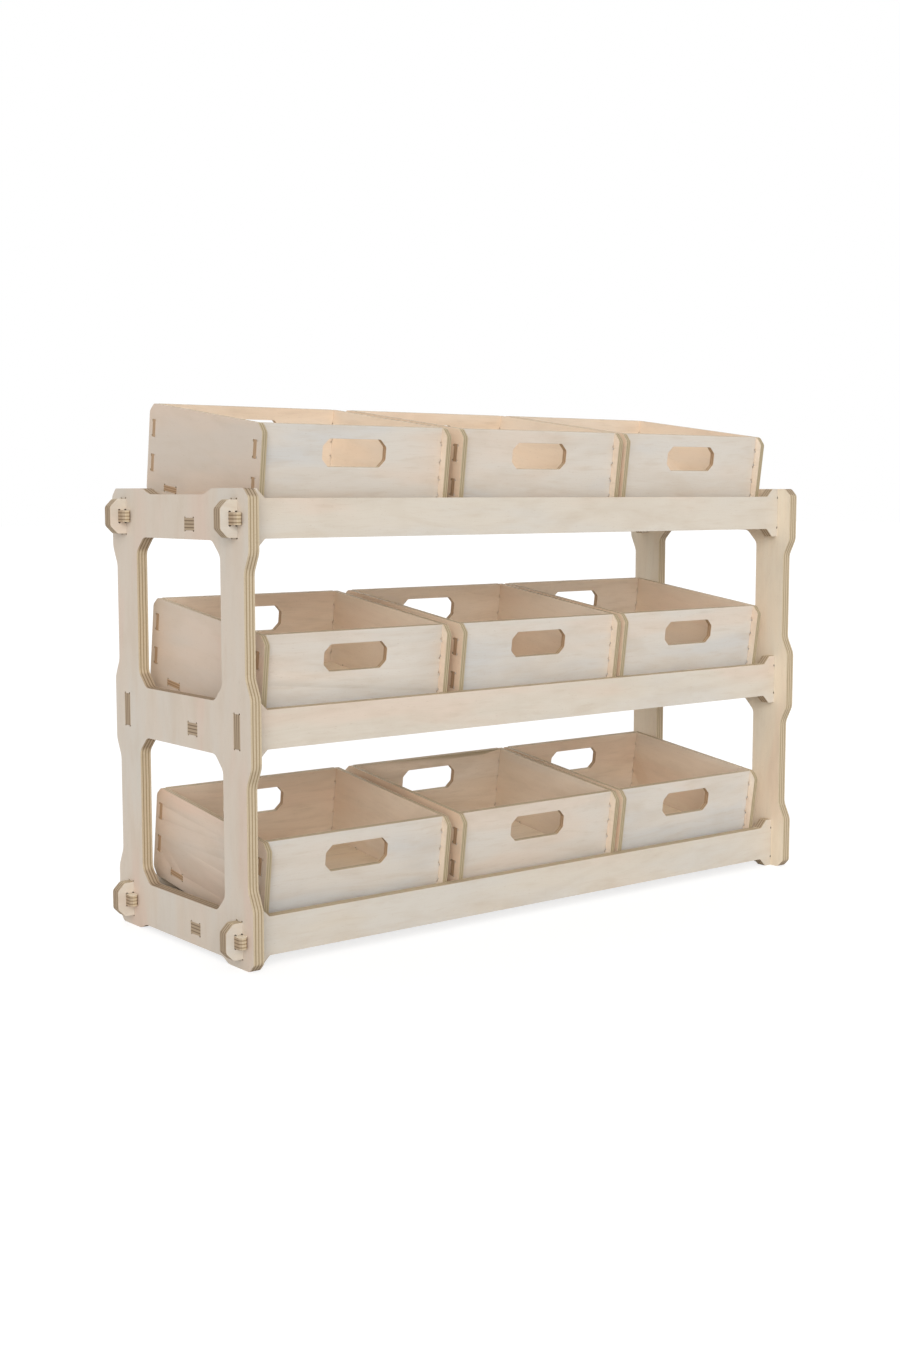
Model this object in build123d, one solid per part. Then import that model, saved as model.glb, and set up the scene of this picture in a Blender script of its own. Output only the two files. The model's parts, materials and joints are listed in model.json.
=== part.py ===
from build123d import *
import os
from math import atan2, cos, degrees, hypot, sin

# A shelf with two plywood ends, joined by keyed rails and slats, that carries three rows of
# loose boxes. The boxes tilt forward so that a child can see and reach into them.
# X runs along the shelf, Y from its front to its back and Z up, all in millimetres.
# The origin is on the floor, under the middle of the shelf.

# Sheets, cutter and clearances
frame_ply = 18.0
box_ply = 9.0
cutter_radius = 2.0
frame_fit = 0.2
box_fit = 0.15
rest_gap = 0.3

# Overall shelf: outer face to outer face of the ends, front to back, and tier to tier
shelf_length = 1158.0
shelf_depth = 408.0
tier_spacing = 304.5
tier_names = ("bottom", "middle", "top")
keyed_tiers = ("bottom", "top")

# Rails: a narrow bar that flares at each end into a tall shoulder against the end frame
rail_height = 58.0
shoulder_height = 86.0
shoulder_length = 14.0
flare_radius = 4.0
rail_setback = 29.0
tenon_height = 54.2
flush_tenon_height = 50.5
tenon_reach = 28.0
tip_chamfer = 12.4

# Keys: wedged through the long tenons against the outer faces of the ends
key_width = 14.2
key_overhang = 16.5
key_chamfer = 4.0
key_draw = 0.5

# Slats: one flat board under the front half of each row of boxes
slat_width = 64.2
slat_tenon_width = 28.6
slat_setback = 133.4
slat_top = 42.4

# End frames: two posts with narrow waists, joined by three crossbars around two windows
post_width = 78.0
waist_recess = 13.5
waist_slope = 28.0
foot_wide_height = 91.0
hub_wide_height = 99.0
low_bar_top = 75.0
hub_bar_height = 78.5
window_chamfer = 22.5
corner_chamfer = 12.0
bend_radius = 25.0
foot_length = 70.0
arch_slope = 16.0
arch_height = 8.0
post_top_length = 99.0
dip_slope = 24.0
dip_depth = 9.0

# Boxes: two long sides that run past a front and a back, and a raised floor
box_names = ("left", "centre", "right")
left_slack = 0.8
right_slack = 4.0
box_gaps = (23.4, 8.4)
box_height = 146.0
box_overlap = 22.0
box_corner_chamfer = 12.0
front_inset = 13.0
back_inset = 11.0
floor_rise = 15.0
floor_tab_length = 39.7
floor_tab_inset = 75.5
tab_height = 27.3
tab_centre_shares = (0.37, 0.74)
hole_width = 115.5
hole_height = 42.0
hole_drop = 20.0
hole_chamfer = 11.2

# A chamfer's two corners are rounded, by a share of the chamfer that is smaller at holes and tenon tips
round_share = 0.7
hole_round_share = 0.5
tip_round_share = 0.6

# What follows from those sizes
joint_height = shoulder_height / 2
frame_height = shoulder_height + tier_spacing * (len(tier_names) - 1)
mid_height = frame_height / 2
front_edge = -shelf_depth / 2
outer_face = shelf_length / 2
inner_face = outer_face - frame_ply
tenon_tip = outer_face + tenon_reach
flare_rise = (shoulder_height - rail_height) / 2
flare_start = shoulder_length + flare_rise
front_rail_y = front_edge + rail_setback
back_rail_y = -front_rail_y - frame_ply
rail_top = joint_height + rail_height / 2
slat_y = front_edge + slat_setback + slat_width / 2
key_height = frame_ply

# Where a box rests: on the slat's front edge and the back rail's front edge, against the front rail
slat_seat = (front_edge + slat_setback, slat_top)
rail_seat = (back_rail_y, rail_top)
front_stop = (front_rail_y + frame_ply, rail_top)
seat_run = rail_seat[0] - slat_seat[0]
seat_rise = rail_seat[1] - slat_seat[1]
box_tilt = atan2(seat_rise, seat_run)
stop_run = (slat_seat[0] - front_stop[0]) * cos(box_tilt) - (front_stop[1] - slat_seat[1]) * sin(box_tilt)
box_length = stop_run - rest_gap + hypot(seat_run, seat_rise) + box_overlap
free_length = 2 * inner_face - 2 * flare_start - left_slack - right_slack - sum(box_gaps)
box_width = free_length / len(box_names)
tab_centres = [box_height * share for share in tab_centre_shares]


def relieved_slot(width, height):
    """A slot with the round reliefs that a cutter leaves past its two ends."""
    slot = Rectangle(width, height)
    for side in (-1, 1):
        for end in (-1, 1):
            corner = Pos(side * (width / 2 - cutter_radius), end * height / 2)
            slot += corner * Circle(cutter_radius)
    return slot


def root_reliefs(root, width):
    """The round reliefs that a cutter leaves beside the roots of a panel's tabs, one tab at each end."""
    reliefs = []
    for side in (-1, 1):
        for edge in (-1, 1):
            corner = Pos(side * root, edge * (width / 2 + cutter_radius))
            reliefs.append(corner * Circle(cutter_radius))
    return reliefs


def chamfered_rectangle(width, height, size, rounding=round_share):
    sheet = Rectangle(width, height)
    sheet = chamfer(sheet.vertices(), size)
    return fillet(sheet.vertices(), size * rounding)


def end_outline():
    """The outline of an end frame, drawn from its front foot up, then down its back. Each corner is
    given by its two coordinates and its radius."""
    corner_radius = corner_chamfer * round_share
    hub_low = mid_height - hub_wide_height / 2
    hub_high = mid_height + hub_wide_height / 2
    top_wide = frame_height - foot_wide_height
    front = [
        (foot_length + arch_slope, arch_height, bend_radius),
        (foot_length, 0, bend_radius),
        (corner_chamfer, 0, corner_radius),
        (0, corner_chamfer, corner_radius),
        (0, foot_wide_height, bend_radius),
        (waist_recess, foot_wide_height + waist_slope, bend_radius),
        (waist_recess, hub_low - waist_slope, bend_radius),
        (0, hub_low, bend_radius),
        (0, hub_high, bend_radius),
        (waist_recess, hub_high + waist_slope, bend_radius),
        (waist_recess, top_wide - waist_slope, bend_radius),
        (0, top_wide, bend_radius),
        (0, frame_height - corner_chamfer, corner_radius),
        (corner_chamfer, frame_height, corner_radius),
        (post_top_length, frame_height, bend_radius),
        (post_top_length + dip_slope, frame_height - dip_depth, bend_radius),
    ]
    back = [(shelf_depth - y, z, radius) for y, z, radius in reversed(front)]
    corners = front + back
    points = [(y, z) for y, z, radius in corners]
    radii = [radius for y, z, radius in corners]
    outline = FilletPolyline(*points, radius=radii, close=True)
    return Pos(front_edge, 0) * make_face(outline)


def end_windows():
    width = shelf_depth - 2 * post_width
    low = low_bar_top
    high = mid_height - hub_bar_height / 2
    window = chamfered_rectangle(width, high - low, window_chamfer)
    rise = mid_height - (low + high) / 2
    return [Pos(0, mid_height + side * rise) * window for side in (-1, 1)]


def end_mortises():
    """The slots for the six rails and the three slats."""
    slat_slot = relieved_slot(slat_tenon_width + 2 * frame_fit, frame_ply + 2 * frame_fit)
    slots = []
    for tier, name in enumerate(tier_names):
        base = tier * tier_spacing
        height = tenon_height if name in keyed_tiers else flush_tenon_height
        rail_slot = relieved_slot(frame_ply + 2 * frame_fit, height + 2 * frame_fit)
        for y in (front_rail_y, back_rail_y):
            slots.append(Pos(y + frame_ply / 2, base + joint_height) * rail_slot)
        slots.append(Pos(slat_y, base + slat_top - frame_ply / 2) * slat_slot)
    return slots


def end_frame(x):
    sheet = end_outline()
    for hole in end_windows() + end_mortises():
        sheet -= hole
    return Pos(x, 0, 0) * extrude(Plane.YZ * sheet, amount=frame_ply)


def rail_bar():
    """The bar between the ends, without its tenons. Each corner is given by its two coordinates and
    its radius."""
    corner = [
        (inner_face - flare_start, rail_height / 2, flare_radius),
        (inner_face - shoulder_length, shoulder_height / 2, flare_radius),
        (inner_face, shoulder_height / 2, 0),
    ]
    right = corner + [(x, -z, radius) for x, z, radius in reversed(corner)]
    left = [(-x, z, radius) for x, z, radius in reversed(right)]
    corners = right + left
    points = [(x, z) for x, z, radius in corners]
    radii = [radius for x, z, radius in corners]
    return make_face(FilletPolyline(*points, radius=radii, close=True))


def rail_sheet(keyed):
    """The rail's flat shape, with cutter reliefs at the tenons' roots. A keyed rail has long tenons
    with a slot for a key in each."""
    if keyed:
        height = tenon_height
        tenons = chamfered_rectangle(2 * tenon_tip, height, tip_chamfer, tip_round_share)
        sheet = rail_bar() + tenons
    else:
        height = flush_tenon_height
        sheet = rail_bar() + Rectangle(2 * outer_face, height)
    slot = relieved_slot(key_width + key_draw, key_height + 2 * frame_fit)
    slot_x = outer_face + (key_width - key_draw) / 2
    for side in (-1, 1):
        for edge in (-1, 1):
            sheet -= Pos(side * inner_face, edge * height / 2) * Circle(cutter_radius)
        if keyed:
            sheet -= Pos(side * slot_x, 0) * slot
    return sheet


def rail(tier, y):
    keyed = tier_names[tier] in keyed_tiers
    solid = extrude(Plane.XZ * rail_sheet(keyed), amount=-frame_ply)
    return Pos(0, y, tier * tier_spacing + joint_height) * solid


def slat(tier):
    sheet = Rectangle(2 * inner_face, slat_width) + Rectangle(2 * outer_face, slat_tenon_width)
    sheet -= root_reliefs(inner_face, slat_tenon_width)
    solid = extrude(sheet, amount=frame_ply)
    return Pos(0, slat_y, tier * tier_spacing + slat_top - frame_ply) * solid


def keys(side):
    """The four keys of one end, through the rails of the bottom and the top tier."""
    sheet = chamfered_rectangle(key_width, frame_ply + 2 * key_overhang, key_chamfer)
    key = extrude(sheet, amount=key_height / 2, both=True)
    group = []
    for tier, name in enumerate(tier_names):
        if name not in keyed_tiers:
            continue
        for y in (front_rail_y, back_rail_y):
            x = side * (outer_face + key_width / 2)
            z = tier * tier_spacing + joint_height
            group.append(Pos(x, y + frame_ply / 2, z) * key)
    return Compound(children=group)


def box_side():
    """A side, drawn from its lower front corner, with a slot for each tab."""
    sheet = chamfered_rectangle(box_length, box_height, box_corner_chamfer)
    sheet = Pos(box_length / 2, box_height / 2) * sheet
    wall_slot = Rot(0, 0, 90) * relieved_slot(tab_height + 2 * box_fit, box_ply + 2 * box_fit)
    for y in (front_inset + box_ply / 2, box_length - back_inset - box_ply / 2):
        for z in tab_centres:
            sheet -= Pos(y, z) * wall_slot
    floor_slot = relieved_slot(floor_tab_length + 2 * box_fit, box_ply + 2 * box_fit)
    for y in (floor_tab_inset, box_length - floor_tab_inset):
        sheet -= Pos(y, floor_rise + box_ply / 2) * floor_slot
    return extrude(Plane.YZ * sheet, amount=box_ply)


def box_wall():
    """A front or a back, centred on X, with its hand hole and two tabs at each end."""
    height = box_height - floor_rise
    sheet = Pos(0, floor_rise + height / 2) * Rectangle(box_width - 2 * box_ply, height)
    root = box_width / 2 - box_ply
    for z in tab_centres:
        sheet += Pos(0, z) * Rectangle(box_width, tab_height)
        sheet -= [Pos(0, z) * relief for relief in root_reliefs(root, tab_height)]
    hole = chamfered_rectangle(hole_width, hole_height, hole_chamfer, hole_round_share)
    sheet -= Pos(0, box_height - hole_drop - hole_height / 2) * hole
    return extrude(Plane.XZ * sheet, amount=-box_ply)


def box_floor():
    """The floor between front and back, centred on X, with two tabs at each end."""
    front = front_inset + box_ply
    back = box_length - back_inset - box_ply
    sheet = Pos(0, (front + back) / 2) * Rectangle(box_width - 2 * box_ply, back - front)
    root = box_width / 2 - box_ply
    for y in (floor_tab_inset, box_length - floor_tab_inset):
        sheet += Pos(0, y) * Rectangle(box_width, floor_tab_length)
        sheet -= [Pos(0, y) * relief for relief in root_reliefs(root, floor_tab_length)]
    return Pos(0, 0, floor_rise) * extrude(sheet, amount=box_ply)


def box_panels():
    """The five panels of one box, with its lower front edge at the origin and centred on X."""
    side = box_side()
    wall = box_wall()
    return {
        "left_side": Pos(-box_width / 2, 0, 0) * side,
        "right_side": Pos(box_width / 2 - box_ply, 0, 0) * side,
        "front": Pos(0, front_inset, 0) * wall,
        "back": Pos(0, box_length - back_inset - box_ply, 0) * wall,
        "floor": box_floor(),
    }


def box_place(tier, column):
    """Where a box lies: tilted onto its two seats and pushed against the front rail."""
    along = rest_gap - stop_run
    y = slat_seat[0] + along * cos(box_tilt) - rest_gap * sin(box_tilt)
    z = slat_seat[1] + along * sin(box_tilt) + rest_gap * cos(box_tilt)
    x = -inner_face + flare_start + left_slack + box_width / 2
    x += column * box_width + sum(box_gaps[:column])
    return Pos(x, y, tier * tier_spacing + z) * Rot(degrees(box_tilt), 0, 0)


def frame_nodes():
    nodes = {
        "left_end_frame": end_frame(-outer_face),
        "right_end_frame": end_frame(inner_face),
        "left_keys": keys(-1),
        "right_keys": keys(1),
    }
    for tier, name in enumerate(tier_names):
        nodes[f"{name}_front_rail"] = rail(tier, front_rail_y)
        nodes[f"{name}_back_rail"] = rail(tier, back_rail_y)
        nodes[f"{name}_slat"] = slat(tier)
    return nodes


def box_nodes():
    panels = box_panels()
    nodes = {}
    for tier, tier_name in enumerate(tier_names):
        for column, box_name in enumerate(box_names):
            place = box_place(tier, column)
            for panel, solid in panels.items():
                nodes[f"{tier_name}_{box_name}_box_{panel}"] = place * solid
    return nodes


def main():
    os.makedirs("parts", exist_ok=True)
    nodes = {**frame_nodes(), **box_nodes()}
    for name, solid in nodes.items():
        export_step(solid, f"parts/{name}.step")
    print(len(nodes), "nodes")
    print("box width, length, tilt:", box_width, box_length, degrees(box_tilt))


main()
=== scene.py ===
# %% [markdown]
# # A shelf of plywood boxes
# The real object is a low shelf for a child's things. Two plywood ends carry rails and slats, held
# by keys alone, and nine loose boxes lie tilted on them in three rows. Every piece is cut from a flat
# sheet, so the construction model already has the right shapes. This lesson adds what a cutter and
# sandpaper leave on birch plywood: the pale face, the striped edge and the softly broken corner.

import json
from math import degrees, pi, radians
from random import Random
from typing import NamedTuple

import bpy
from mathutils import Matrix, Vector


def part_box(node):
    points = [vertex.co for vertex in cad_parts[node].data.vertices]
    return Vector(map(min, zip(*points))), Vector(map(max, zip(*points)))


MM_PER_M = 1000

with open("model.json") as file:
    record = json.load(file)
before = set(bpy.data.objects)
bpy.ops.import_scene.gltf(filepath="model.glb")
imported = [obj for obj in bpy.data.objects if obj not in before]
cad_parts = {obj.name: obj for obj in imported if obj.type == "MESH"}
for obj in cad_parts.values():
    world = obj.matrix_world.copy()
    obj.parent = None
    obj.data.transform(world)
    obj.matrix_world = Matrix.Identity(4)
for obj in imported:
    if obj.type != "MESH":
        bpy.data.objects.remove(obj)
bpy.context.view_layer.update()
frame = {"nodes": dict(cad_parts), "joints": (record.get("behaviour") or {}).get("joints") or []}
nodes = frame["nodes"]

# %% [markdown]
# ## Camera
# The picture was taken from the front left, from about as high as the tops of the two ends, and looks
# slightly down. A focal length that was measured in pixels of a picture 1350 high becomes a lens when
# the sensor's long side stands for those 1350 pixels. No shift and no depth of field are needed.

# %% Place the camera
CAMERA_PLACE = (-1.8385, -2.2605, 0.6887)
CAMERA_PITCH = radians(6.10)
CAMERA_YAW = radians(38.20)
FOCAL_PIXELS = 1707.98
PICTURE_HEIGHT_PIXELS = 1350
SENSOR = 36.0

camera_data = bpy.data.cameras.new("camera")
camera_data.sensor_fit = "AUTO"
camera_data.sensor_width = SENSOR
camera_data.lens = SENSOR * FOCAL_PIXELS / PICTURE_HEIGHT_PIXELS
camera = bpy.data.objects.new("camera", camera_data)
camera.location = CAMERA_PLACE
camera.rotation_euler = (pi / 2 - CAMERA_PITCH, 0, -CAMERA_YAW)
bpy.context.scene.collection.objects.link(camera)
bpy.context.scene.camera = camera
print("lens", round(camera_data.lens, 2), "mm")

# %% [markdown]
# ## A screen colour as light
# A colour that was read off a screen isn't proportional to light: the screen's curve is straight in
# the darkest part and a power above it. Blender's sockets want plain light, so the curve is undone.

# %% Linear light
SCREEN_WHITE = 255
DARK_PART = 0.04045
DARK_SLOPE = 12.92
CURVE_OFFSET = 0.055
CURVE_SCALE = 1.055
CURVE_POWER = 2.4


def linear(red, green, blue):
    """A screen colour from 0 to 255 as linear light, with full alpha."""
    shares = [channel / SCREEN_WHITE for channel in (red, green, blue)]
    light = [
        share / DARK_SLOPE if share <= DARK_PART else ((share + CURVE_OFFSET) / CURVE_SCALE) ** CURVE_POWER
        for share in shares
    ]
    return (*light, 1.0)


print("a mid grey of 128 is", round(linear(128, 128, 128)[0], 3), "in linear light")

# %% [markdown]
# ## Small helpers for materials
# A material here is a graph of nodes. These helpers keep the steps short: they add a node and set its
# inputs, do a sum, turn a value into a smooth step, mix two colours, and make stretched noise.

# %% Node helpers
# The sockets that a Mix node uses when it mixes colours
MIX_SHARE = 0
MIX_FIRST = 6
MIX_SECOND = 7
MIX_RESULT = 2


def give(tree, socket, value):
    """Sets a socket to a plain value, or links another node's output to it."""
    if isinstance(value, bpy.types.NodeSocket):
        tree.links.new(value, socket)
    else:
        socket.default_value = value


def add_node(tree, kind, inputs=None, **settings):
    """Adds a node. An input is a plain value or another node's output."""
    node = tree.nodes.new(kind)
    for name, value in settings.items():
        setattr(node, name, value)
    for name, value in (inputs or {}).items():
        give(tree, node.inputs[name], value)
    return node


def sum_node(tree, operation, first, second=0.0):
    node = add_node(tree, "ShaderNodeMath", {0: first, 1: second}, operation=operation)
    return node.outputs[0]


def ramp(tree, value, low, high, to_low=0.0, to_high=1.0):
    """A smooth step from to_low to to_high as value goes from low to high."""
    inputs = {"Value": value, "From Min": low, "From Max": high, "To Min": to_low, "To Max": to_high}
    node = add_node(tree, "ShaderNodeMapRange", inputs, interpolation_type="SMOOTHSTEP")
    return node.outputs["Result"]


def mix(tree, share, first, second):
    inputs = {MIX_SHARE: share, MIX_FIRST: first, MIX_SECOND: second}
    return add_node(tree, "ShaderNodeMix", inputs, data_type="RGBA").outputs[MIX_RESULT]


def noise(tree, place, stretch, detail=2.0, roughness=0.5):
    """Noise stretched along a sheet. Stretch is in patches per metre along, across and through it."""
    stretched = add_node(tree, "ShaderNodeMapping", {"Vector": place, "Scale": stretch})
    inputs = {"Vector": stretched.outputs[0], "Scale": 1.0, "Detail": detail, "Roughness": roughness}
    return add_node(tree, "ShaderNodeTexNoise", inputs).outputs["Fac"]


print(len((add_node, sum_node, ramp, mix, noise)), "helpers that add nodes")

# %% [markdown]
# ## Which way each sheet lies
# Plywood looks different along its grain, across it and through its thickness, so each piece needs
# those three directions. Its name says what it is, and the boxes' tilt is read from the joint that
# lifts a box, because it lifts along the box's own height. Where a sheet starts is measured. The
# inward side of a piece is the one that faces the middle of the shelf or of its box.

# %% Directions of the sheets
FRAME_PLY = 0.018
BOX_PLY = 0.009
ALONG = Vector((1, 0, 0))
BACK = Vector((0, 1, 0))
UP = Vector((0, 0, 1))
box_up = Vector(frame["joints"][0]["axis"]).normalized()
box_back = box_up.cross(ALONG)


def sheet_axes(name):
    """The directions through a piece's sheet and along the grain of its face."""
    if name.endswith("end_frame"):
        return ALONG, UP
    if name.endswith(("keys", "slat")):
        return UP, ALONG
    if name.endswith("rail"):
        return BACK, ALONG
    if name.endswith("side"):
        return ALONG, box_back
    if name.endswith("floor"):
        return box_up, ALONG
    return box_back, ALONG


def inward(name):
    """1 where the inward side looks along the direction through the sheet, and -1 where it looks back."""
    return -1 if name.endswith(("right_side", "_back", "back_rail")) or name == "right_end_frame" else 1


def sheet_start(name, through):
    return min(vertex.co.dot(through) for vertex in nodes[name].data.vertices)


print("the boxes lean", round(degrees(box_up.angle(UP)), 2), "degrees")

# %% [markdown]
# ## Softly broken corners
# A cutter leaves a sharp corner and sandpaper takes it off, so a real sheet shows a thin line of light
# along each edge. A Bevel modifier does the same for every piece at once. The construction model is a
# net of loose triangles, so a Weld joins them first and a Decimate melts the flat ones together, which
# leaves the bevel only the true corners to work on.

# %% Break the corners
CORNER_BREAK = 0.0006
CORNER_STEPS = 2
CORNER_ANGLE = radians(30)
FLAT_ANGLE = radians(0.5)
SAME_PLACE = 0.00001


def break_corners(piece):
    weld = piece.modifiers.new("join", "WELD")
    weld.merge_threshold = SAME_PLACE
    flat = piece.modifiers.new("flatten", "DECIMATE")
    flat.decimate_type = "DISSOLVE"
    flat.angle_limit = FLAT_ANGLE
    bevel = piece.modifiers.new("corners", "BEVEL")
    bevel.width = CORNER_BREAK
    bevel.segments = CORNER_STEPS
    bevel.limit_method = "ANGLE"
    bevel.angle_limit = CORNER_ANGLE


for piece in nodes.values():
    break_corners(piece)
print(len(nodes), "pieces with corners broken by", CORNER_BREAK * MM_PER_M, "mm")

# %% [markdown]
# ## The colours of birch veneer
# A sheet isn't one colour. Patches of it run from a cool grey over a plain tone to a warm pink, so each
# face is given as those three. Inside the boxes and the ends, and on the boxes' floors most of all, the
# faces are painted warmer and brighter as light bounced between the wood. The left sides that look into
# a gap between two boxes get that painted bounce light outside too.

# %% Colours of the faces
FRONT_FACE = ((213, 210, 205), (221, 213, 202), (224, 210, 195))
RAIL_FACE = ((218, 211, 200), (221, 211, 196), (225, 208, 191))
END_FACE = ((213, 204, 192), (215, 202, 187), (217, 197, 181))
ROSY_FACE = ((212, 199, 185), (218, 200, 183), (221, 196, 177))
# These four are painted warmer and brighter to stand in for light bounced between the wood
CREAM_BOUNCE_LIT_FACE = ((235, 224, 204), (238, 223, 200), (239, 217, 192))
PEACH_BOUNCE_LIT_FACE = ((235, 221, 204), (238, 220, 199), (236, 214, 192))
GAP_BOUNCE_LIT_FACE = ((240, 219, 193), (242, 216, 188), (241, 209, 179))
BOX_FLOOR_BOUNCE_LIT_FACE = ((247, 233, 212), (249, 233, 209), (248, 227, 200))
GRAIN_SHADE = (196, 176, 152)
PORE = (166, 138, 110)


def faces_of(name):
    """The outward and the inward colours of a piece, many of them brightened and warmed with painted bounce
    light.
    """
    if name.endswith("_side"):
        # Sides that look into a gap between boxes get painted bounce light on the outside as well
        between_boxes = name.endswith("left_side") and "_left_box" not in name
        return (GAP_BOUNCE_LIT_FACE if between_boxes else ROSY_FACE), PEACH_BOUNCE_LIT_FACE
    if name.endswith("_floor"):
        return PEACH_BOUNCE_LIT_FACE, BOX_FLOOR_BOUNCE_LIT_FACE
    if "_box_" in name:
        return FRONT_FACE, PEACH_BOUNCE_LIT_FACE
    if name.endswith("slat"):
        return PEACH_BOUNCE_LIT_FACE, PEACH_BOUNCE_LIT_FACE
    if name.endswith("rail"):
        return RAIL_FACE, RAIL_FACE
    return END_FACE, CREAM_BOUNCE_LIT_FACE


print(len({faces_of(name) for name in nodes}), "pairs of outward and inward veneer")

# %% [markdown]
# ## The figure of birch veneer
# Birch veneer is peeled off a turning log, so its face has no straight lines. It has wide soft
# waves, blotches, streaks that wander a little, fine fibres, and a few short brown pores. Each of them
# is noise at its own scale, stretched along the grain, and laid over the pale colour. The waves are the
# lines of equal height of a slow noise, as rings show in peeled wood. How strongly the figure shows
# differs from sheet to sheet: the ends and the boxes' sides are nearly plain, and the fronts are lively.

# %% Marks of the veneer
class Mark(NamedTuple):
    """Noise that draws a shade on the wood, from nothing up to a share, as it goes through its limits."""
    stretch: tuple
    limits: tuple
    share: float
    detail: float = 2.0
    roughness: float = 0.5
    shade: tuple = GRAIN_SHADE


BLOTCHES = Mark((9.0, 26.0, 40.0), (0.45, 0.72), 0.2, detail=3.0, roughness=0.6)
STREAKS = Mark((17.0, 120.0, 40.0), (0.52, 0.76), 0.3)
FIBRES = Mark((22.0, 900.0, 40.0), (0.48, 0.76), 0.24, detail=3.0)
PORES = Mark((150.0, 1700.0, 40.0), (0.76, 0.84), 0.4, detail=0.0, shade=PORE)


def marked(tree, colour, place, mark, figure=1.0):
    """A colour with a mark drawn on it, and the noise that drew it."""
    value = noise(tree, place, mark.stretch, mark.detail, mark.roughness)
    drawn = ramp(tree, value, *mark.limits, 0.0, mark.share * figure)
    return mix(tree, drawn, colour, linear(*mark.shade)), value


print("fibres are about", round(MM_PER_M / FIBRES.stretch[1], 1), "mm wide")

# %% [markdown]
# ## The whole face
# The three colours are mixed by slow patches. Then the marks follow, the wide ones first. They read a
# place that is itself pushed about by noise, which is what makes the streaks bend.

# %% Face colour
PATCH_STRETCH = (2.2, 10.0, 40.0)
PATCH_DETAIL = 3.0
COOL_TO_PLAIN = (0.36, 0.52)
PLAIN_TO_WARM = (0.52, 0.66)
RING_STRETCH = (1.3, 9.0, 40.0)
RING_TURNS = 60.0
BAND_LIMITS = (0.1, 1.0)
BAND_SHARE = 0.14
BEND_STRETCH = (5.0, 14.0, 14.0)
BEND_SPAN = (0.03, 0.022, 0.0)
NOISE_MIDDLE = (0.5, 0.5, 0.5)


def wandering(tree, place):
    """The place on a sheet, pushed about over a span in metres, so that streaks bend as they run."""
    stretched = add_node(tree, "ShaderNodeMapping", {"Vector": place, "Scale": BEND_STRETCH})
    push = add_node(tree, "ShaderNodeTexNoise", {"Vector": stretched.outputs[0], "Scale": 1.0, "Detail": 1.0})
    inputs = {0: push.outputs["Color"], 1: NOISE_MIDDLE}
    centred = add_node(tree, "ShaderNodeVectorMath", inputs, operation="SUBTRACT").outputs[0]
    inputs = {0: centred, 1: BEND_SPAN, 2: place}
    return add_node(tree, "ShaderNodeVectorMath", inputs, operation="MULTIPLY_ADD").outputs[0]


def face_colour(tree, place, inner, outer_face, inner_face, figure):
    """The veneer's colour and its fibres. Figure is how strongly the grain shows."""
    # The inward colours carry painted bounce light, so the inward side is warmer and brighter
    cool, plain, warm = [
        mix(tree, inner, linear(*outer), linear(*inward_colour))
        for outer, inward_colour in zip(outer_face, inner_face)
    ]
    patches = noise(tree, place, PATCH_STRETCH, PATCH_DETAIL)
    colour = mix(tree, ramp(tree, patches, *COOL_TO_PLAIN), cool, plain)
    colour = mix(tree, ramp(tree, patches, *PLAIN_TO_WARM), colour, warm)
    bent = wandering(tree, place)
    rings = noise(tree, bent, RING_STRETCH, detail=1.0)
    bands = sum_node(tree, "SINE", sum_node(tree, "MULTIPLY", rings, RING_TURNS))
    drawn = ramp(tree, bands, *BAND_LIMITS, 0.0, BAND_SHARE * figure)
    colour = mix(tree, drawn, colour, linear(*GRAIN_SHADE))
    colour, _ = marked(tree, colour, bent, BLOTCHES)
    colour, _ = marked(tree, colour, bent, STREAKS, figure)
    colour, fibres = marked(tree, colour, bent, FIBRES, figure)
    colour, _ = marked(tree, colour, bent, PORES)
    return colour, fibres


print("streaks bend by up to", round(MM_PER_M * BEND_SPAN[0] / 2, 1), "mm along the grain")

# %% [markdown]
# ## The edge of plywood
# An edge shows the layers. Their grain turns by a right angle from one to the next, so wide pale layers
# cut along the grain and thin darker ones cut across it take turns. A sine wave through the thickness
# gives both. Where the edge is cut across the grain of the whole sheet, as on the end of a tenon, more
# open ends of fibres show and it is darker all over. Shade is painted into narrow hollows, such as the
# small round reliefs at the corners of a slot: where an Ambient Occlusion node finds little open air
# within 8 mm, the wood is painted dark brown, as it looks in shadow.

# %% Edge colour
PALE_LAYER = (207, 190, 161)
DARK_LAYER = (158, 133, 102)
OPEN_END_PALE = (178, 157, 132)
OPEN_END_DARK = (118, 98, 76)
SIDE_END_PALE = (188, 172, 142)
SIDE_END_DARK = (150, 134, 106)
TAB_END_PALE = (190, 160, 129)
TAB_END_DARK = (148, 117, 89)
# The dark brown that is painted into narrow hollows as shade
PAINTED_HOLLOW_SHADE = (58, 42, 29)
LAYERS_IN_FRAME_PLY = 7
LAYERS_IN_BOX_PLY = 5
LAYER_WANDER_STRETCH = (18.0, 18.0, 0.0)
LAYER_WANDER_LIMITS = (0.2, 0.8)
LAYER_WANDER_TURN = 0.25
DARK_LINE_LIMITS = (-0.95, 0.0)
DARK_LINE_SHARE = 0.9
EDGE_PORES = Mark((420.0, 420.0, 900.0), (0.5, 0.8), 0.3, detail=1.0, shade=DARK_LAYER)
# How far the Ambient Occlusion looks, its rays, and where and how strongly the painted hollow shade comes in
HOLLOW_SHADE_REACH = 0.008
HOLLOW_SHADE_RAYS = 6
HOLLOW_SHADE_LIMITS = (0.4, 0.82)
HOLLOW_SHADE_SHARE = 0.95


def open_end_of(name):
    """The pale and the dark layer of an edge that is cut across the grain."""
    if name.endswith("_side"):
        return SIDE_END_PALE, SIDE_END_DARK
    if "_box_" in name:
        return TAB_END_PALE, TAB_END_DARK
    return OPEN_END_PALE, OPEN_END_DARK


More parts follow.
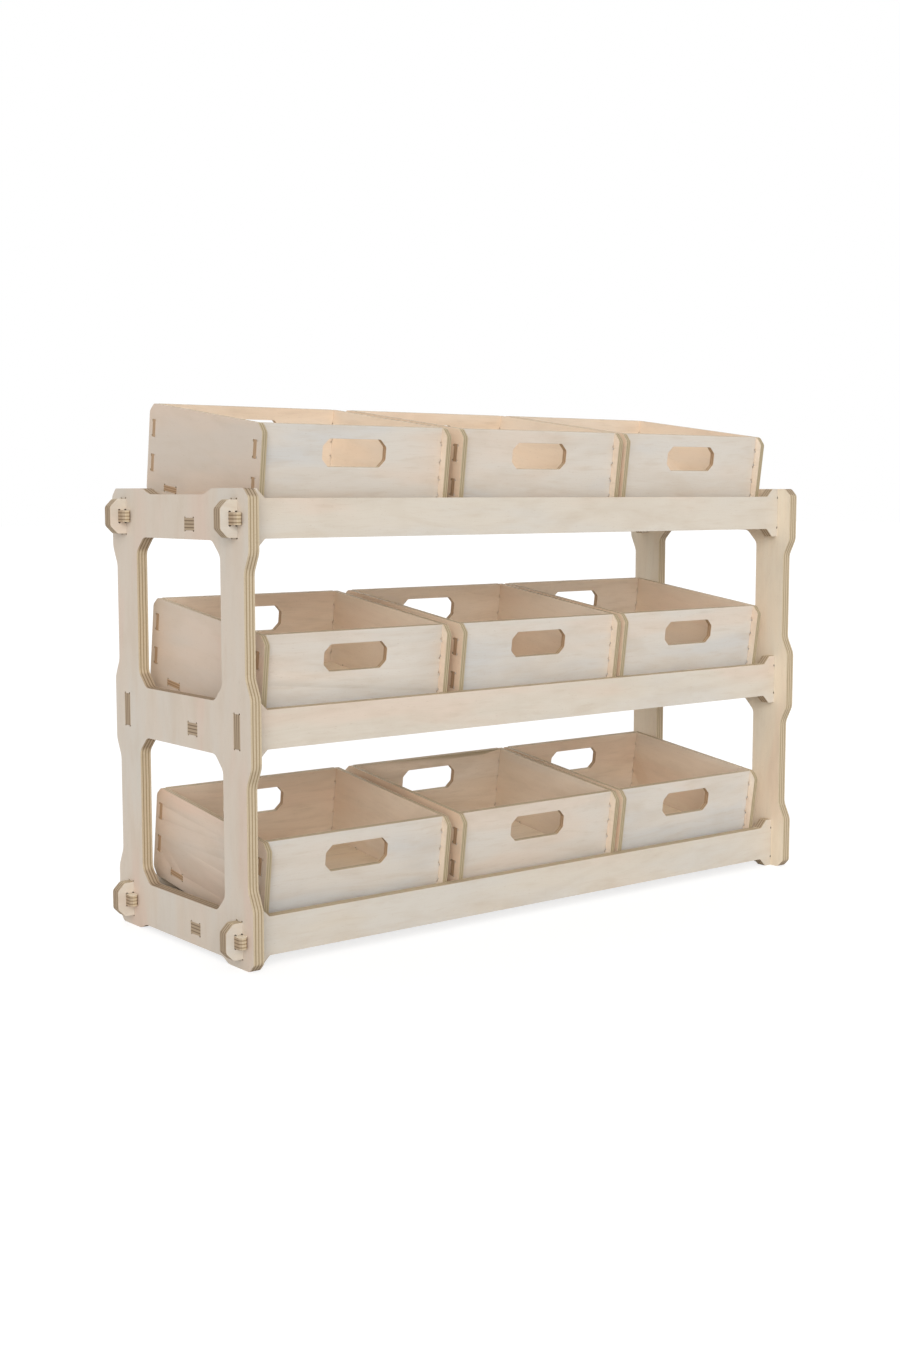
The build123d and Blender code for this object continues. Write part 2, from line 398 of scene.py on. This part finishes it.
def painted_hollow_shade_share(tree):
    """How much painted shade darkens the wood: much where little open air is near, and not at all on open
    faces.
    """
    hollow = add_node(tree, "ShaderNodeAmbientOcclusion", {"Distance": HOLLOW_SHADE_REACH}, samples=HOLLOW_SHADE_RAYS)
    hollow.only_local = True
    return ramp(tree, hollow.outputs["AO"], *HOLLOW_SHADE_LIMITS, HOLLOW_SHADE_SHARE, 0.0)


def edge_colour(tree, place, depth, thickness, across_grain, open_end):
    layers = LAYERS_IN_FRAME_PLY if thickness == FRAME_PLY else LAYERS_IN_BOX_PLY
    wander = noise(tree, place, LAYER_WANDER_STRETCH, detail=1.0)
    turn = sum_node(tree, "MULTIPLY", depth, pi * layers / thickness)
    wandered = ramp(tree, wander, *LAYER_WANDER_LIMITS, -LAYER_WANDER_TURN, LAYER_WANDER_TURN)
    wave = sum_node(tree, "SINE", sum_node(tree, "ADD", turn, wandered))
    line = ramp(tree, wave, *DARK_LINE_LIMITS, DARK_LINE_SHARE, 0.0)
    colour = mix(tree, line, linear(*PALE_LAYER), linear(*DARK_LAYER))
    colour, _ = marked(tree, colour, place, EDGE_PORES)
    pale_end, dark_end = open_end
    colour = mix(tree, across_grain, colour, mix(tree, line, linear(*pale_end), linear(*dark_end)))
    # Painted shade darkens the narrow hollows
    return mix(tree, painted_hollow_shade_share(tree), colour, linear(*PAINTED_HOLLOW_SHADE))


for thickness, layers in ((FRAME_PLY, LAYERS_IN_FRAME_PLY), (BOX_PLY, LAYERS_IN_BOX_PLY)):
    print("a layer is", round(MM_PER_M * thickness / layers, 2), "mm thick")

# %% [markdown]
# ## One material for each piece
# The pieces share this recipe, but no two are cut from the same spot of a sheet, so each gets its
# own material with the grain moved by its own amount. A Mapping node turns the object's coordinates
# into the sheet's. The normal tells face from edge and inward from outward, and fibres raise the
# surface slightly. The wood is bare or oiled, so it has hardly any sheen.

# %% Plywood for one piece
ROUGHNESS = 0.62
SPECULAR_LEVEL = 0.22
FIBRE_RELIEF = 0.00012
FIBRE_RELIEF_STRENGTH = 0.5
PLAIN_FIGURE = 0.3
RAIL_AND_SLAT_FIGURE = 0.6
BOX_FIGURE = 0.7
# How much of the normal lies along a direction, where the finish starts and where it is complete
FACE_LIMITS = (0.75, 0.9)
ACROSS_GRAIN_LIMITS = (0.3, 0.9)
INWARD_LIMITS = (-0.1, 0.1)


def figure_of(name):
    """How strongly the grain shows on a piece."""
    if name.endswith(("end_frame", "keys", "_side")):
        return PLAIN_FIGURE
    return BOX_FIGURE if "_box_" in name else RAIL_AND_SLAT_FIGURE


def depth_in_sheet(tree, place, name, thickness):
    """The distance into the sheet. Keys lie at two heights, so for them it starts again at the upper one."""
    depth = add_node(tree, "ShaderNodeSeparateXYZ", {0: place}).outputs["Z"]
    if not name.endswith("keys"):
        return depth
    low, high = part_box(name)
    return sum_node(tree, "MODULO", depth, high.z - low.z - thickness)


def plywood(name, thickness, shift):
    through, grain = sheet_axes(name)
    across = through.cross(grain)
    turn = Matrix((grain, across, through)).to_euler()
    start = sheet_start(name, through)
    material = bpy.data.materials.new(f"plywood_{name}")
    material.use_nodes = True
    tree = material.node_tree
    tree.nodes.clear()
    where = add_node(tree, "ShaderNodeTexCoord")
    inputs = {"Vector": where.outputs["Object"], "Rotation": turn, "Location": (shift[0], shift[1], -start)}
    place = add_node(tree, "ShaderNodeMapping", inputs).outputs[0]
    facing = add_node(tree, "ShaderNodeMapping", {"Vector": where.outputs["Normal"], "Rotation": turn})
    facing = add_node(tree, "ShaderNodeSeparateXYZ", {0: facing.outputs[0]})
    on_face = ramp(tree, sum_node(tree, "ABSOLUTE", facing.outputs["Z"]), *FACE_LIMITS)
    across_grain = ramp(tree, sum_node(tree, "ABSOLUTE", facing.outputs["X"]), *ACROSS_GRAIN_LIMITS)
    # Where this is high, the face gets the inward colours with their painted bounce light
    inner = ramp(tree, sum_node(tree, "MULTIPLY", facing.outputs["Z"], inward(name)), *INWARD_LIMITS)
    depth = depth_in_sheet(tree, place, name, thickness)
    face, fibres = face_colour(tree, place, inner, *faces_of(name), figure_of(name))
    edge = edge_colour(tree, place, depth, thickness, across_grain, open_end_of(name))
    colour = mix(tree, on_face, edge, face)
    inputs = {"Height": fibres, "Strength": FIBRE_RELIEF_STRENGTH, "Distance": FIBRE_RELIEF}
    relief = add_node(tree, "ShaderNodeBump", inputs).outputs[0]
    inputs = {"Base Color": colour, "Normal": relief}
    surface = add_node(tree, "ShaderNodeBsdfPrincipled", inputs)
    surface.inputs["Roughness"].default_value = ROUGHNESS
    surface.inputs["Specular IOR Level"].default_value = SPECULAR_LEVEL
    add_node(tree, "ShaderNodeOutputMaterial", {"Surface": surface.outputs[0]})
    return material


print(sum(figure_of(name) == PLAIN_FIGURE for name in nodes), "pieces are nearly plain")

# %% [markdown]
# ## Dress the pieces
# Each piece gets its own spot of the sheet, moved by up to 9 m either way, far more than any patch is
# long. The draws come from a fixed seed, so the shelf looks the same every time.

# %% Give each piece its plywood
GRAIN_SEED = 7
GRAIN_SHIFT = 9

draw = Random(GRAIN_SEED)
for name, piece in nodes.items():
    thickness = BOX_PLY if "_box_" in name else FRAME_PLY
    shift = (draw.uniform(-GRAIN_SHIFT, GRAIN_SHIFT), draw.uniform(-GRAIN_SHIFT, GRAIN_SHIFT))
    piece.data.materials.clear()
    piece.data.materials.append(plywood(name, thickness, shift))
print(len(bpy.data.materials), "materials")

# %% [markdown]
# ## Floor and background
# The shelf stands in a white studio, where floor and background run into each other. The floor is a
# plain sheet. Light that falls on it comes back as from white paper, but the camera sees mostly the
# floor's own white and less than half of the light on it, so it is as white as the background and
# keeps a faint shadow.

# %% Floor
FLOOR_SIZE = 60.0
FLOOR_WHITE = 0.82
FLOOR_SHADE_SHARE = 0.46
FLOOR_GLOW = 0.75

bpy.ops.object.select_all(action="DESELECT")
bpy.ops.mesh.primitive_plane_add(size=FLOOR_SIZE, location=(0, 0, 0))
floor = bpy.context.active_object
floor.name = "floor"
material = bpy.data.materials.new("floor_white")
material.use_nodes = True
tree = material.node_tree
tree.nodes.clear()
ray = add_node(tree, "ShaderNodeLightPath").outputs["Is Camera Ray"]
white = ramp(tree, ray, 0.0, 1.0, FLOOR_WHITE, FLOOR_WHITE * FLOOR_SHADE_SHARE)
paper = add_node(tree, "ShaderNodeBsdfDiffuse", {"Color": white})
glow = add_node(tree, "ShaderNodeEmission", {"Strength": sum_node(tree, "MULTIPLY", ray, FLOOR_GLOW)})
both = add_node(tree, "ShaderNodeAddShader", {0: paper.outputs[0], 1: glow.outputs[0]})
add_node(tree, "ShaderNodeOutputMaterial", {"Surface": both.outputs[0]})
floor.data.materials.append(material)
print("floor", FLOOR_SIZE, "m wide")

# %% [markdown]
# ## Light
# Three wide suns stand for the large lamps of a studio: a weak one higher up in front, a strong one
# in line with the camera, which shines into the boxes, and one behind. The white room fills in the
# rest. Together they give a plain level, at which a colour shows about as it was written.

# %% Lamps and room
# Each lamp's strength, how wide it looks, and the direction in which it stands
LAMPS = {
    "high_lamp": (0.4, radians(60), Vector((-0.70, -0.80, 0.70))),
    "camera_lamp": (1.28, radians(40), Vector((-0.60, -0.80, 0.34))),
    "back_lamp": (1.0, radians(60), Vector((0.50, 0.80, 0.60))),
}
ROOM_STRENGTH = 0.52
BACKGROUND_STRENGTH = 1.0
ROOM_WHITE = (1.0, 1.0, 1.0, 1.0)

for name, (strength, width, direction) in LAMPS.items():
    lamp_data = bpy.data.lights.new(name, "SUN")
    lamp_data.energy = strength
    lamp_data.angle = width
    lamp = bpy.data.objects.new(name, lamp_data)
    lamp.rotation_euler = direction.to_track_quat("Z", "Y").to_euler()
    bpy.context.scene.collection.objects.link(lamp)

world = bpy.data.worlds.new("white_room")
world.use_nodes = True
bpy.context.scene.world = world
tree = world.node_tree
tree.nodes.clear()
ray = add_node(tree, "ShaderNodeLightPath").outputs["Is Camera Ray"]
strength = ramp(tree, ray, 0.0, 1.0, ROOM_STRENGTH, BACKGROUND_STRENGTH)
room = add_node(tree, "ShaderNodeBackground", {"Color": ROOM_WHITE, "Strength": strength})
add_node(tree, "ShaderNodeOutputWorld", {"Surface": room.outputs[0]})
bpy.context.scene.view_settings.view_transform = "Standard"
print(len(LAMPS), "lamps, room at", ROOM_STRENGTH)
